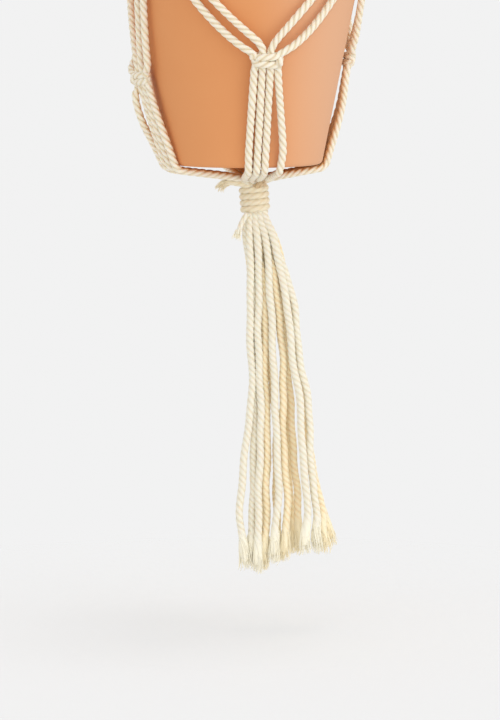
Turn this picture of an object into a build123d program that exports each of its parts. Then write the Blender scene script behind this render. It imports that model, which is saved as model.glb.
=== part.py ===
from build123d import *
import os
from math import atan2, ceil, cos, degrees, hypot, pi, radians, sin, sqrt, tan

# A flowerpot carried in a knotted cotton cord hanger. Sixteen cord runs leave a wooden ring, gather
# under a whipping, part into four legs of four, cross in two rows of square knots, pass under the
# pot, gather under a second whipping and hang free as a tassel.
# Millimetres. The origin is where a hook bears on the inside of the ring, +Z is up, and the photographed
# front faces -Y. Azimuths are degrees from the front, positive to the right seen from the front.

# Cord
CORD_D = 4.5
WRAP_D = 3.3
RUN_GAP = 0.3
LIE_GAP = 0.25
WRAP_GAP = 0.45

# Ring
RING_INNER_D = 48.0
RING_STOCK_D = 8.0
FOLD_PLAY = 1.75
FOLD_SHOULDER = 9.0
FOLD_DROP = 30.0

# Upper whipping
TOP_NECK_D = 16.0
TOP_PLATE = 3.0
TOP_TURNS = 7.5

# Pot
POT_HEIGHT = 140.0
POT_BASE_D = 92.4
POT_RIM_D = 148.0
POT_WALL = 5.0
POT_FLOOR = 6.0
POT_EDGE_R = 3.0
DRAIN_D = 14.0

# Legs and knots
LEG_DROP = 200.0
LEG_GAP = 1.1
UPPER_FILLER_HALF = 3.1
LOWER_FILLER_HALF = 2.4
UPPER_KNOT_RISE = 10.5
LOWER_KNOT_HEIGHTS = {"front": 64.0, "right": 62.0, "back": 62.0, "left": 53.0}
RIM_MARGIN = 1.2
LEG_AZIMUTHS = {"front_left": -45.0, "front_right": 45.0, "back_right": 135.0, "back_left": -135.0}
UPPER_AZIMUTHS = {"front_left": -50.0, "front_right": 71.0, "back_right": 140.0, "back_left": -127.0}
LOWER_AZIMUTHS = {"front": 11.2, "right": 106.0, "back": 188.0, "left": -77.0}
# How far each lower knot is turned about its cords, with its right end towards the pot
KNOT_TURNS = {"front": 0.0, "right": 0.0, "back": 0.0, "left": 15.0}
GATHER_AZIMUTHS = {"front": 9.0, "right": 101.0, "back": 190.0, "left": -76.0}
NEIGHBOURS = {
    "front": ("front_left", "front_right"),
    "right": ("front_right", "back_right"),
    "back": ("back_right", "back_left"),
    "left": ("back_left", "front_left"),
}
STEP_AZIMUTH = 11.0
# How straight the inner and the outer net cord hang on the left and on the right of each lower knot
NET_SAGS = {
    "front": ((0.6, 0.45), (0.88, 0.35)),
    "right": ((0.75, 0.5), (0.75, 0.5)),
    "back": ((0.75, 0.5), (0.75, 0.5)),
    "left": ((0.75, 0.5), (0.75, 0.5)),
}
INNER_ENTRY = 9.0
OUTER_ENTRY = 3.0
INNER_EXIT = 6.0
CRADLE_EXIT = 9.0

# Where the four cords of each lower group cross the edge of the pot's base, side to side
EDGE_OFFSETS = {
    "front": (-7.3, -2.5, 2.3, 13.5),
    "right": (-10.5, -4.6, 0.6, 6.0),
    "back": (-7.6, -2.4, 2.4, 7.6),
    "left": (-8.3, 0.7, 8.3, 15.7),
}

# Lower whipping
GATHER_X = 5.0
HEAD_DEPTH = 5.5
HEAD_MARGIN = 1.4
GATHER_NECK_D = 10.6
GATHER_TURNS = 4.5
BIND_GAP = 0.6
UPPER_TAIL = [(-4.0, -3.0, -13.7), (-9.5, -4.2, -13.2), (-15.0, -5.6, -15.4)]
LOWER_TAIL = [(-4.0, -8.6, -41.1), (-5.4, -9.4, -46.5), (-8.2, -10.2, -51.9)]

# Tassel
BALL_D = 10.0
SKIRT_D = 25.6
SKIRT_TOP = 1.5
SKIRT_DROP = 6.0
SKIRT_PLATE = 2.0
STRAND_SINK = 1.0
STRAND_LEVELS = (-66.0, -92.0, -118.0, -143.0, -179.0, -208.0, -226.0)
# How far back each row of strands lies under the skirt, at each level and at its tips
ROW_DEPTHS = (
    (-6.5, -8.2, -9.2, -10.0, -10.6, -11.2, -11.8, -12.0, -12.0),
    (-2.2, -2.9, -3.6, -4.2, -4.6, -5.0, -5.4, -5.4, -5.2),
    (2.2, 2.3, 2.1, 1.8, 1.6, 1.3, 1.1, 1.2, 1.4),
    (6.5, 7.3, 7.6, 7.8, 8.0, 8.1, 8.1, 8.1, 8.1),
)
# Each strand: its row, how high its tip is, and how far right it lies at the same places
STRANDS = (
    (0, -246, (-0.4, 2.4, 2.4, 3.0, 4.2, -0.6, -4.2, -1.2, 0.6)),
    (0, -248, (4.7, 8.1, 7.2, 8.4, 9.0, 9.6, 7.8, 7.8, 7.2)),
    (0, -242, (9.8, 13.8, 13.8, 14.4, 18.6, 19.8, 19.8, 18.0, 17.4)),
    (0, -236, (14.9, 23.4, 28.2, 28.2, 33.0, 35.4, 37.8, 36.0, 37.8)),
    (1, -245, (-2.8, 3.3, 3.0, 4.2, 4.8, 6.0, 4.2, 3.6, 3.6)),
    (1, -246, (2.3, 10.2, 10.2, 10.8, 12.6, 13.2, 13.2, 12.0, 10.8)),
    (1, -241, (7.4, 17.8, 21.0, 24.6, 22.8, 24.0, 25.8, 24.0, 23.4)),
    (1, -236, (12.5, 23.4, 28.2, 31.8, 38.4, 39.6, 43.2, 42.6, 45.0)),
    (2, -244, (-0.4, 7.5, 7.2, 9.0, 9.3, 9.6, 8.1, 7.8, 8.4)),
    (2, -242, (4.7, 12.9, 13.8, 15.0, 18.0, 19.2, 19.5, 18.6, 19.2)),
    (2, -238, (9.8, 18.4, 21.6, 25.2, 27.0, 30.0, 31.8, 32.4, 32.4)),
    (2, -237, (14.9, 23.7, 27.6, 31.8, 37.8, 39.6, 46.8, 46.8, 48.6)),
    (3, -243, (-2.8, 3.6, 3.6, 4.5, 5.4, 6.0, 5.1, 4.8, 5.4)),
    (3, -240, (2.3, 9.9, 10.8, 11.4, 12.9, 13.2, 12.6, 11.7, 12.6)),
    (3, -239, (7.4, 16.8, 21.6, 25.2, 25.2, 26.4, 28.2, 27.6, 27.6)),
    (3, -234, (12.5, 22.8, 27.6, 31.5, 37.2, 39.0, 46.2, 50.4, 53.4)),
)

# Derived sizes
cord_r = CORD_D / 2
pitch = CORD_D + LIE_GAP
base_r = POT_BASE_D / 2
rim_r = POT_RIM_D / 2
wall_slope = (rim_r - base_r) / POT_HEIGHT
wall_lean = atan2(rim_r - base_r, POT_HEIGHT)
stock_r = RING_STOCK_D / 2
ring_r = RING_INNER_D / 2 + stock_r
ring_foot_z = -RING_INNER_D - stock_r
wrap_pitch = WRAP_D + WRAP_GAP
top_z = ring_foot_z - FOLD_DROP
top_wrap_height = TOP_TURNS * wrap_pitch + WRAP_D
top_neck_height = top_wrap_height + 2 * WRAP_GAP
leg_top_z = top_z - 2 * TOP_PLATE - top_neck_height - LEG_GAP
base_z = leg_top_z - LEG_DROP - POT_HEIGHT
edge_standoff = cord_r + RUN_GAP
rim_standoff = edge_standoff + RIM_MARGIN
ring_offset = CORD_D + LIE_GAP
ring_level = (CORD_D + RUN_GAP) / 2
knot_standoff = ring_offset + cord_r + RUN_GAP
head_reach = 1.5 * pitch + cord_r + HEAD_MARGIN
head_r = hypot(1.5 * pitch, head_reach)
head_bottom = -HEAD_DEPTH - CORD_D - RUN_GAP
gather_neck_r = GATHER_NECK_D / 2
gather_wrap_top = head_bottom - BIND_GAP
gather_foot = gather_wrap_top - GATHER_TURNS * wrap_pitch - WRAP_D - RUN_GAP
tassel_pivot = gather_foot - RUN_GAP - BALL_D / 2
skirt_foot = tassel_pivot - SKIRT_DROP - SKIRT_PLATE


def at_base(x, y, height):
    """A point given from the pot's axis and its height above the pot's base."""
    return Vector(x, y, base_z + height)


def polar(azimuth, radius, height):
    """A point round the pot's axis, with its height above the pot's base."""
    angle = radians(azimuth)
    return at_base(radius * sin(angle), -radius * cos(angle), height)


def beside_pot(azimuth, height, standoff, side=0.0):
    """A point that stands off the pot's wall. Above the rim it stands straight over the rim."""
    level = min(height, POT_HEIGHT)
    radius = base_r + wall_slope * level + standoff / cos(wall_lean)
    return polar(azimuth + degrees(side / radius), radius, height)


def natural_radii(points):
    """The largest arc that each corner's two runs leave room for."""
    radii = []
    for before, corner, after in zip(points, points[1:], points[2:]):
        first, second = corner - before, after - corner
        turn = radians(first.get_angle(second))
        radii.append(0.45 * min(first.length, second.length) / tan(turn / 2))
    return radii


smallest_radius = {}
volume_error = {}


def tube(name, path, diameter):
    """A round cord along a path, with its volume compared with section times length."""
    section = Plane(origin=path @ 0, z_dir=path % 0) * Circle(diameter / 2)
    solid = sweep(section, path=path).solid()
    expected = pi * diameter**2 / 4 * path.length
    error = abs(solid.volume / expected - 1)
    volume_error[name] = max(error, volume_error.get(name, 0.0))
    return solid


def cord(name, points, radii=None):
    """A cord through points, straight or with tangent arcs at its corners."""
    points = [Vector(*p) for p in points]
    if len(points) == 2:
        return tube(name, Wire([Edge.make_line(*points)]), CORD_D)
    radii = radii or natural_radii(points)
    smallest_radius[name] = min(min(radii), smallest_radius.get(name, min(radii)))
    return tube(name, FilletPolyline(*points, radius=radii).wire(), CORD_D)


def hanging_ring():
    """The wooden ring that goes on a hook."""
    hoop = Torus(ring_r, stock_r)
    return Pos(0, 0, -RING_INNER_D / 2) * Rot(90, 0, 0) * hoop


def ring_fold_cords():
    """Eight cords folded over the ring's lowest stock, four on the wood and four over those."""
    cords = []
    for column in (-1.5, -0.5, 0.5, 1.5):
        x = column * pitch
        edge = abs(x) + cord_r
        rise = ring_r - sqrt(ring_r**2 - edge**2)
        centre_z = ring_foot_z + rise - FOLD_PLAY + RUN_GAP
        for layer in (0, 1):
            bend_r = stock_r + FOLD_PLAY + cord_r + layer * pitch
            foot_y = (0.5 + layer) * pitch
            sides = []
            for way in (-1, 1):
                foot = Vector(x, way * foot_y, top_z)
                shoulder = Vector(x, way * bend_r, centre_z - FOLD_SHOULDER)
                spring = Vector(x, way * bend_r, centre_z)
                sides.append((foot, shoulder, spring))
            crown = Vector(x, 0, centre_z + bend_r)
            first = FilletPolyline(*sides[0], radius=natural_radii(sides[0]))
            over = ThreePointArc(sides[0][2], crown, sides[1][2])
            back = tuple(reversed(sides[1]))[0:3]
            last = FilletPolyline(*back, radius=natural_radii(back))
            path = Wire(first.edges() + over.edges() + last.edges())
            cords.append(tube("ring_fold_cords", path, CORD_D))
    return cords


def spool(heights_and_radii):
    """A turned solid from pairs of height and radius, closed on its axis."""
    outline = [(0, heights_and_radii[0][0])]
    outline += [(radius, height) for height, radius in heights_and_radii]
    outline += [(0, heights_and_radii[-1][0])]
    face = make_face(Plane.XZ * Polyline(*outline, close=True))
    return revolve(face, axis=Axis.Z).solid()


def winding(name, neck_r, turns, top):
    """One unbroken binding cord wound downwards round a neck, with straight ends."""
    helix_r = neck_r + WRAP_GAP / 2 + WRAP_D / 2
    quarter_drop = wrap_pitch / 4
    rise = Vector(0, 0, quarter_drop / (pi / 2))

    def place(quarter):
        angle = quarter * pi / 2
        return Vector(helix_r * cos(angle), -helix_r * sin(angle), top - WRAP_D / 2 - quarter * quarter_drop)

    def heading(quarter):
        angle = quarter * pi / 2
        return (Vector(-helix_r * sin(angle), -helix_r * cos(angle), 0) - rise).normalized()

    quarters = int(4 * turns)
    edges = [Edge.make_line(place(0) - heading(0) * WRAP_D, place(0))]
    for quarter in range(quarters):
        start, end = place(quarter), place(quarter + 1)
        away, arrive = heading(quarter), heading(quarter + 1)
        chord, both = end - start, away + arrive
        spare = 4 - both.dot(both)
        along = chord.dot(both)
        reach = (sqrt(along**2 + spare * chord.dot(chord)) - along) / spare
        knee, elbow = start + away * reach, end - arrive * reach
        middle = (knee + elbow) * 0.5
        edges.append(Edge.make_tangent_arc(start, away, middle))
        edges.append(Edge.make_tangent_arc(middle, elbow - knee, end))
    edges.append(Edge.make_line(place(quarters), place(quarters) + heading(quarters) * WRAP_D))
    least_gap = min(
        (place(a / 9) - place(b / 9)).length - WRAP_D
        for a in range(9 * quarters)
        for b in range(a + 27, 9 * quarters)
    )
    print(f"{name}: {turns} turns, least gap to itself {least_gap:.2f}")
    return tube(name, Wire(edges), WRAP_D)


def leg_top(leg):
    """The middle of a leg's four cords under the upper whipping."""
    return polar(LEG_AZIMUTHS[leg], head_reach, leg_top_z - base_z)


def upper_knot_plane(leg):
    """A knot just above the rim: local X runs round the pot, local Z up the leg."""
    azimuth = UPPER_AZIMUTHS[leg]
    foot = beside_pot(azimuth, POT_HEIGHT, rim_standoff)
    up = (leg_top(leg) - foot).normalized()
    round_pot = Vector(cos(radians(azimuth)), sin(radians(azimuth)), 0)
    return Plane(origin=foot + up * UPPER_KNOT_RISE, x_dir=round_pot - up * round_pot.dot(up), z_dir=up)


def lower_knot_plane(group):
    """A knot against the pot's wall: local X runs round the pot, local Z up the wall."""
    azimuth, turn = LOWER_AZIMUTHS[group], KNOT_TURNS[group]
    standoff = knot_standoff + LOWER_FILLER_HALF * sin(radians(turn))
    origin = beside_pot(azimuth, LOWER_KNOT_HEIGHTS[group], standoff)
    up = (beside_pot(azimuth, POT_HEIGHT, standoff) - origin).normalized()
    plane = Plane(origin=origin, x_dir=(cos(radians(azimuth)), sin(radians(azimuth)), 0), z_dir=up)
    return plane.rotated((0, 0, turn))


def square_knot(plane, filler_half):
    """The two working cords of a square knot, one turn above the other round the two fillers."""
    turns = []
    for level in (ring_level, -ring_level):
        outline = SlotCenterToCenter(2 * filler_half, 2 * ring_offset).face().outer_wire()
        section = Plane(origin=outline @ 0, z_dir=outline % 0) * Circle(cord_r)
        turns.append(plane * Pos(0, 0, level) * sweep(section, path=outline).solid())
    return turns


def in_knot(plane, side, up):
    """A point of a knot's middle plane."""
    return plane.from_local_coords((side, 0, up))


def leg_cords(leg):
    """Four taut cords from the upper whipping to the leg's knot, side by side in the same order."""
    azimuth = radians(LEG_AZIMUTHS[leg])
    across = Vector(cos(azimuth), sin(azimuth), 0)
    plane = upper_knot_plane(leg)
    working = UPPER_FILLER_HALF + ring_offset
    ends = (
        (-working, ring_level),
        (-UPPER_FILLER_HALF, LIE_GAP),
        (UPPER_FILLER_HALF, LIE_GAP),
        (working, ring_level),
    )
    cords = []
    for index, (side, up) in enumerate(ends):
        start = leg_top(leg) + across * (index - 1.5) * pitch
        cords.append(cord(f"{leg}_leg_cords", [start, in_knot(plane, side, up)]))
    return cords


def net_pair(group, leg, side):
    """Two cords from a leg's knot, over the rim and round the pot to the knot below. side is the side
    of the lower knot that they come in on. The leg's working cord becomes a filler there."""
    name = f"{group}_net_{'left' if side < 0 else 'right'}_cords"
    upper, lower = upper_knot_plane(leg), lower_knot_plane(group)
    upper_azimuth, lower_azimuth = UPPER_AZIMUTHS[leg], LOWER_AZIMUTHS[group]
    if side * (upper_azimuth - lower_azimuth) < 0:
        upper_azimuth += side * 360
    upper_working = UPPER_FILLER_HALF + ring_offset
    lower_working = LOWER_FILLER_HALF + ring_offset
    inner_sag, outer_sag = NET_SAGS[group][0 if side < 0 else 1]
    pair = []
    for from_side, to_side, start_up, sag, entry, entry_up in (
        (upper_working, LOWER_FILLER_HALF, -ring_level, inner_sag, INNER_ENTRY, LIE_GAP),
        (UPPER_FILLER_HALF, lower_working, -LIE_GAP, outer_sag, OUTER_ENTRY, ring_level),
    ):
        inner = to_side < lower_working
        points = [in_knot(upper, -side * from_side, start_up)]
        top = POT_HEIGHT
        if inner:
            top += UPPER_KNOT_RISE - INNER_EXIT
        bottom = LOWER_KNOT_HEIGHTS[group] + entry
        rim_share = (POT_HEIGHT - bottom) / (top - bottom)
        at_rim = (sqrt(sag**2 + 4 * (1 - sag) * rim_share) - sag) / (2 - 2 * sag)
        steps = ceil(abs(upper_azimuth - lower_azimuth) / STEP_AZIMUTH)
        for step in range(steps):
            share = at_rim * (1 - step / steps)
            height = bottom + (top - bottom) * (sag * share + (1 - sag) * share**2)
            azimuth = lower_azimuth + (upper_azimuth - lower_azimuth) * share
            lift = (knot_standoff - rim_standoff) * (1 - share / at_rim) ** 3
            offset = side * (to_side - (to_side + from_side) * share)
            points.append(beside_pot(azimuth, height, rim_standoff + lift, offset))
        if inner:
            points.append(in_knot(lower, side * to_side, entry))
        points.append(in_knot(lower, side * to_side, entry_up))
        pair.append(cord(name, points))
    return pair


def cradle_cords(group):
    """Four cords from a lower knot, down the wall, round the edge of the base and in to the gather."""
    plane = lower_knot_plane(group)
    azimuth, inward = LOWER_AZIMUTHS[group], radians(GATHER_AZIMUTHS[group])
    out = Vector(sin(inward), -cos(inward), 0)
    across = Vector(cos(inward), sin(inward), 0)
    centre = at_base(GATHER_X, 0, -HEAD_DEPTH - cord_r)
    working = LOWER_FILLER_HALF + ring_offset
    starts = (
        (-working, -ring_level),
        (-LOWER_FILLER_HALF, -LIE_GAP),
        (LOWER_FILLER_HALF, -LIE_GAP),
        (working, -ring_level),
    )
    cords = []
    for index, (side, up) in enumerate(starts):
        edge = beside_pot(azimuth, -edge_standoff, edge_standoff, EDGE_OFFSETS[group][index])
        end = centre + out * head_reach + across * (index - 1.5) * pitch
        points = [in_knot(plane, side, up), in_knot(plane, side, -CRADLE_EXIT), edge, end]
        radii = [natural_radii(points)[0], POT_EDGE_R + edge_standoff]
        cords.append(cord(f"{group}_cradle_cords", points, radii))
    return cords


def pot():
    """A plain tapered terracotta pot with a rounded lip and a drain hole."""
    inner_base = base_r + wall_slope * POT_FLOOR - POT_WALL
    inner_rim = rim_r - POT_WALL
    outline = [
        (DRAIN_D / 2, 0),
        (base_r, 0),
        (rim_r, POT_HEIGHT),
        (inner_rim, POT_HEIGHT),
        (inner_base, POT_FLOOR),
        (DRAIN_D / 2, POT_FLOOR),
    ]
    face = make_face(Plane.XZ * Polyline(*outline, close=True)).face()
    corners = {1: POT_EDGE_R, 2: 0.45 * POT_WALL, 3: 0.45 * POT_WALL, 4: POT_EDGE_R}
    for index, radius in corners.items():
        x, z = outline[index]
        corner = face.vertices().sort_by_distance((x, 0, z))[0]
        face = face.fillet_2d(radius, [corner])
    return Pos(0, 0, base_z) * revolve(face, axis=Axis.Z).solid()


def top_gather():
    """The sixteen cords squeezed together under the upper whipping, as one turned solid."""
    plate_r = head_r + cord_r
    neck_r = TOP_NECK_D / 2
    low = top_z - TOP_PLATE - top_neck_height
    return spool(
        [
            (top_z, plate_r),
            (top_z - TOP_PLATE, plate_r),
            (top_z - TOP_PLATE, neck_r),
            (low, neck_r),
            (low, plate_r),
            (low - TOP_PLATE, plate_r),
        ]
    )


def bottom_gather():
    """The sixteen cords squeezed together under the pot and inside the lower whipping."""
    solid = spool(
        [
            (-HEAD_DEPTH, head_r),
            (head_bottom, head_r),
            (head_bottom, gather_neck_r),
            (gather_foot, gather_neck_r),
        ]
    )
    return Pos(GATHER_X, 0, base_z) * solid


def tassel_neck():
    """The ball that the tassel swings on, and the skirt that its strands hang from."""
    stem_r = sqrt((BALL_D / 2) ** 2 - SKIRT_TOP**2)
    skirt = spool(
        [
            (-SKIRT_TOP, stem_r),
            (-SKIRT_DROP, SKIRT_D / 2),
            (-SKIRT_DROP - SKIRT_PLATE, SKIRT_D / 2),
        ]
    )
    return Pos(GATHER_X, 0, base_z + tassel_pivot) * (skirt + Sphere(BALL_D / 2)).solid()


def tassel_strand(number):
    """One free hanging strand, through its hand-chosen points."""
    row, tip, sides = STRANDS[number]
    levels = (skirt_foot + STRAND_SINK, *STRAND_LEVELS, tip)
    points = [at_base(x, y, level) for x, y, level in zip(sides, ROW_DEPTHS[row], levels)]
    return cord(f"tassel_strand_{number + 1:02d}", points)


nodes = {
    "hanging_ring": [hanging_ring()],
    "ring_fold_cords": ring_fold_cords(),
    "top_gather": [top_gather()],
    "top_wrap": [winding("top_wrap", TOP_NECK_D / 2, TOP_TURNS, top_z - TOP_PLATE - WRAP_GAP)],
    "pot": [pot()],
    "bottom_gather": [bottom_gather()],
    "tassel_neck": [tassel_neck()],
    "upper_wrap_tail": [cord("upper_wrap_tail", [at_base(*p) for p in UPPER_TAIL])],
    "lower_wrap_tail": [cord("lower_wrap_tail", [at_base(*p) for p in LOWER_TAIL])],
}
bottom_turns = winding("bottom_wrap", gather_neck_r, GATHER_TURNS, base_z + gather_wrap_top)
nodes["bottom_wrap"] = [Pos(GATHER_X, 0, 0) * bottom_turns]
for leg in UPPER_AZIMUTHS:
    nodes[f"{leg}_leg_cords"] = leg_cords(leg)
    nodes[f"{leg}_knot"] = square_knot(upper_knot_plane(leg), UPPER_FILLER_HALF)
for group, (left_leg, right_leg) in NEIGHBOURS.items():
    nodes[f"{group}_net_left_cords"] = net_pair(group, left_leg, -1)
    nodes[f"{group}_net_right_cords"] = net_pair(group, right_leg, 1)
    nodes[f"{group}_knot"] = square_knot(lower_knot_plane(group), LOWER_FILLER_HALF)
    nodes[f"{group}_cradle_cords"] = cradle_cords(group)
for number in range(len(STRANDS)):
    nodes[f"tassel_strand_{number + 1:02d}"] = [tassel_strand(number)]

os.makedirs("parts", exist_ok=True)
for name, solids in nodes.items():
    export_step(Compound(children=solids), f"parts/{name}.step")
for name, radius in smallest_radius.items():
    print(f"{name}: smallest arc radius {radius:.1f}")
print(f"largest tube volume error {max(volume_error.values()):.2e} of section times length")
lowest_tip = min(tip for _, tip, _ in STRANDS)
print(f"pot base at {base_z:.1f}, whole height {RING_STOCK_D - base_z - lowest_tip:.0f}")
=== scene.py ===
import math
import random

import bpy
import numpy as np
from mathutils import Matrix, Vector


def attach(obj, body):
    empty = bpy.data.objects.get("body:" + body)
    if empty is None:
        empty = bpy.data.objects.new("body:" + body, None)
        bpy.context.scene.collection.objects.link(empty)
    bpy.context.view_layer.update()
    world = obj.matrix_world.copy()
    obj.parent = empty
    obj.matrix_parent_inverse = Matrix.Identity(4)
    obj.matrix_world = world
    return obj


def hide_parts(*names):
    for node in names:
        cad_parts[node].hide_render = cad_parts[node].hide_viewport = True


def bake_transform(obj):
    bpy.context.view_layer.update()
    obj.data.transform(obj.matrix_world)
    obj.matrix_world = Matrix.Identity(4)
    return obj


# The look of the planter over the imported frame: twisted cord, tied knots, whippings,
# a frayed tassel, a terracotta pot and a wooden ring.
# Lengths are millimetres until a mesh is made. Azimuth 0 is the front, and 90 is the right.

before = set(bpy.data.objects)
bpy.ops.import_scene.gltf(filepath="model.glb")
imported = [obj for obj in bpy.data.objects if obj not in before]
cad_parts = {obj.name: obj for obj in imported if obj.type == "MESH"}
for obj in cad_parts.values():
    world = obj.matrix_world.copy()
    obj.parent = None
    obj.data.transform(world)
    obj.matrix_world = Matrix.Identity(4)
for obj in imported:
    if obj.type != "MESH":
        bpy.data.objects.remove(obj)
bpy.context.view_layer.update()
MM = 0.001

# Sizes shared with the frame: the cord, the ring, the pot and the levels that they hang at
CORD_D = 4.5
CORD_R = CORD_D / 2
LIE_GAP = 0.25
RUN_GAP = 0.3
PITCH = CORD_D + LIE_GAP
RING_R = 28.0
RING_STOCK_R = 4.0
RING_FOOT_Z = -52.0
TOP_Z = -82.0
LEG_TOP_Z = -121.425
BASE_Z = -461.425
POT_HEIGHT = 140.0
POT_BASE_R = 46.2
POT_RIM_R = 74.0
WALL_SLOPE = (POT_RIM_R - POT_BASE_R) / POT_HEIGHT
WALL_COS = math.cos(math.atan(WALL_SLOPE))
EDGE_STANDOFF = CORD_R + RUN_GAP
RIM_ROOM = 1.2
RIM_STANDOFF = EDGE_STANDOFF + RIM_ROOM

# Where the knots lie, and how far their filler and working cords lie from their middle
UPPER_FILLER = 3.1
LOWER_FILLER = 2.4
WORKER_OFFSET = PITCH
KNOT_STANDOFF = WORKER_OFFSET + EDGE_STANDOFF
UPPER_KNOT_RISE = 10.5
LEG_AZIMUTHS = {"front_left": -45.0, "front_right": 45.0, "back_right": 135.0, "back_left": -135.0}
UPPER_AZIMUTHS = {"front_left": -50.0, "front_right": 71.0, "back_right": 140.0, "back_left": -127.0}
LOWER_AZIMUTHS = {"front": 11.2, "right": 106.0, "back": 188.0, "left": -75.6}
LOWER_HEIGHTS = {"front": 64.0, "right": 62.0, "back": 62.0, "left": 53.0}
GATHER_AZIMUTHS = {"front": 9.0, "right": 101.0, "back": 190.0, "left": -76.0}
KNOT_TURNS = {"front": 0.0, "right": -16.0, "back": 0.0, "left": 15.0}

# How straight the net cords fall to the left and the right side of a knot, filler before working cord
NET_SAGS = {
    "front": ((0.6, 0.45), (0.88, 0.35)),
    "right": ((0.75, 0.5), (0.75, 0.5)),
    "back": ((0.75, 0.5), (0.75, 0.5)),
    "left": ((0.75, 0.5), (0.75, 0.5)),
}

# How far aside of its knot each cradle cord crosses the edge of the base
EDGE_OFFSETS = {
    "front": (-7.3, -2.5, 2.3, 11.8),
    "right": (-10.5, -4.6, 0.6, 6.0),
    "back": (-7.6, -2.4, 2.4, 7.6),
    "left": (-8.3, 0.7, 8.3, 15.7),
}

# The lower knots to the left and to the right of each leg
BELOW = {
    "front_left": ("left", "front"),
    "front_right": ("front", "right"),
    "back_right": ("right", "back"),
    "back_left": ("back", "left"),
}

# The lower gather, the whippings and the tassel's pivot, with heights from the pot's base
GATHER_X = 5.0
HEAD_DEPTH = 5.5
HEAD_HEIGHT = -HEAD_DEPTH - CORD_R
HEAD_ROOM = 1.4
HEAD_REACH = 1.5 * PITCH + CORD_R + HEAD_ROOM
WRAP_D = 3.3
WRAP_GAP = 0.45
WRAP_PITCH = WRAP_D + WRAP_GAP
TOP_WRAP_R = 9.875
TOP_WRAP_DROP = 3.45
TOP_WRAP_TURNS = 7.5
BOTTOM_WRAP_R = 7.175
BOTTOM_WRAP_TOP = -10.9
BOTTOM_WRAP_TURNS = 4.5
BOTTOM_WRAP_LEAN = 0.08

# Drawn tight, the knots are flatter than the frame's round turns and lie nearer to the pot
UPPER_KNOT_FLAT = 0.76
UPPER_KNOT_STRETCH = 1.1
UPPER_KNOT_WIDTH = 1.08
LOWER_KNOT_WIDTH = 1.0
KNOT_FLATS = {"front": 0.76, "right": 0.45, "back": 0.76, "left": 0.5}
KNOT_STRETCHES = {"front": 0.97, "right": 0.9, "back": 0.97, "left": 0.85}
KNOT_SINKS = {"front": 1.2, "right": 0.2, "back": 1.2, "left": 1.2}
KNOT_DROPS = {"front": 0.0, "right": 0.0, "back": 0.0, "left": 1.2}
MIRRORED = {"front", "back", "front_right", "back_left"}

# How far a cord stands away from its neighbours where it leaves a knot
STRAYS = {("left", 0): 3.6}
# How far the cords below a knot bulge out from the straight way down
SLACKS = {"front": 0.0, "right": 2.1, "back": 1.0, "left": 0.4}
# How far a cord bows aside on its way down the wall
BOWS = {("front", 3): 2.4, ("front", 0): -0.6, ("left", 0): -1.0, ("left", 3): 0.6}

# The cord's mesh, its width, the length of one turn of its plies and the depth between them
PLIES = 3
SIDES = 18
RING_STEP = 0.85
ROUTE_STEPS = 12
LOOK_D = 4.6
STRAND_LOOK_D = 4.7
TOP_WRAP_LOOK_D = 4.1
BOTTOM_WRAP_LOOK_D = 4.0
LAY = 14.0
STRAND_LAY = 11.5
GROOVE = 0.24
SOFT_GROOVE = 0.16
WRAP_GROOVE = 0.1
GROOVE_POWER = 1.3
# When a line counts as running along an axis, and when as going straight on
NEARLY_ALONG = 0.8
NO_TURN = 1e-12

# How unevenly a cord is twisted along its length
WAVE_LENGTHS = (28.0, 40.0)
LAY_SPREAD = (0.95, 1.06)
SWELL = 0.025
SWELL_RATE = 0.7
TWIST_SWAY = 0.25
ANY_ANGLE = 6.28
THREAD_SHIFT = 100.0

# How a cut end opens: its width at places along the loose length, and what becomes of its plies
BRUSH_PLACES = (0.0, 0.5, 0.8, 1.0)
FULL_BRUSH = (1.0, 1.1, 1.05, 0.75)
THIN_BRUSH = (1.0, 0.8, 0.45, 0.15)
BRUSH_OPEN = 0.6
BRUSH_UNTWIST = 0.9
BRUSH_STREAKS = 0.13
BRUSH_PALE = 0.55
BRUSH_TONES = 0.45
TIP_SHARE = 0.3
FRAY_REACH = 4.2
FRAY_LENGTH = 20.0
FRAY_STEP = 1.0

# A loose fibre: where it lies and begins, how it bends and twists, its radius and how pale it is
INNER_PLACES = (0.1, 0.8)
OUTER_PLACES = (0.98, 1.14)
INNER_START = 0.5
OUTER_STARTS = (-0.05, 0.45)
FLARES = (-0.3, 1.3)
FLARE_POWER = 1.6
FIBRE_BEND = 0.9
FIBRE_CURL = 3
FIBRE_TWIST = 0.35
FIBRE_RADII = (0.22, 0.4)
FIBRE_TAPER = 0.45
FIBRE_THREADS = 2.0
FIBRE_CRESTS = (1.3, 2.0)
FIBRE_POINTS = 7
FIBRE_SIDES = 5
TAIL_FRAY = {"spread": 2.2, "count": 44, "ragged": 0.35}
STRAND_FRAY = {"spread": 1.9, "count": 54, "ragged": 0.18}

# The first seed of each kind of cord
HANGER_SEED = 10
FOLD_SEED = 100
GATHER_SEED = 200
WRAP_SEED = 300
TAIL_SEED = 310
TAIL_FRAY_SEED = 320
STRAND_SEED = 400
STRAND_FRAY_SEED = 420
CORE_SEED = 440
WANDER_SEED = 460


# Places and lines
def at_base(x, y, height):
    """A point given from the pot's axis and its height above the pot's base."""
    return np.array((x, y, BASE_Z + height))


def polar(azimuth, radius, height):
    """A point round the pot's axis."""
    angle = math.radians(azimuth)
    return at_base(radius * math.sin(angle), -radius * math.cos(angle), height)


def unit(vector):
    """The vector at length one."""
    return vector / np.linalg.norm(vector)


def outward(azimuth):
    """The level direction away from the pot's axis, and the one round it."""
    angle = math.radians(azimuth)
    out = np.array((math.sin(angle), -math.cos(angle), 0.0))
    across = np.array((math.cos(angle), math.sin(angle), 0.0))
    return out, across


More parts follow.
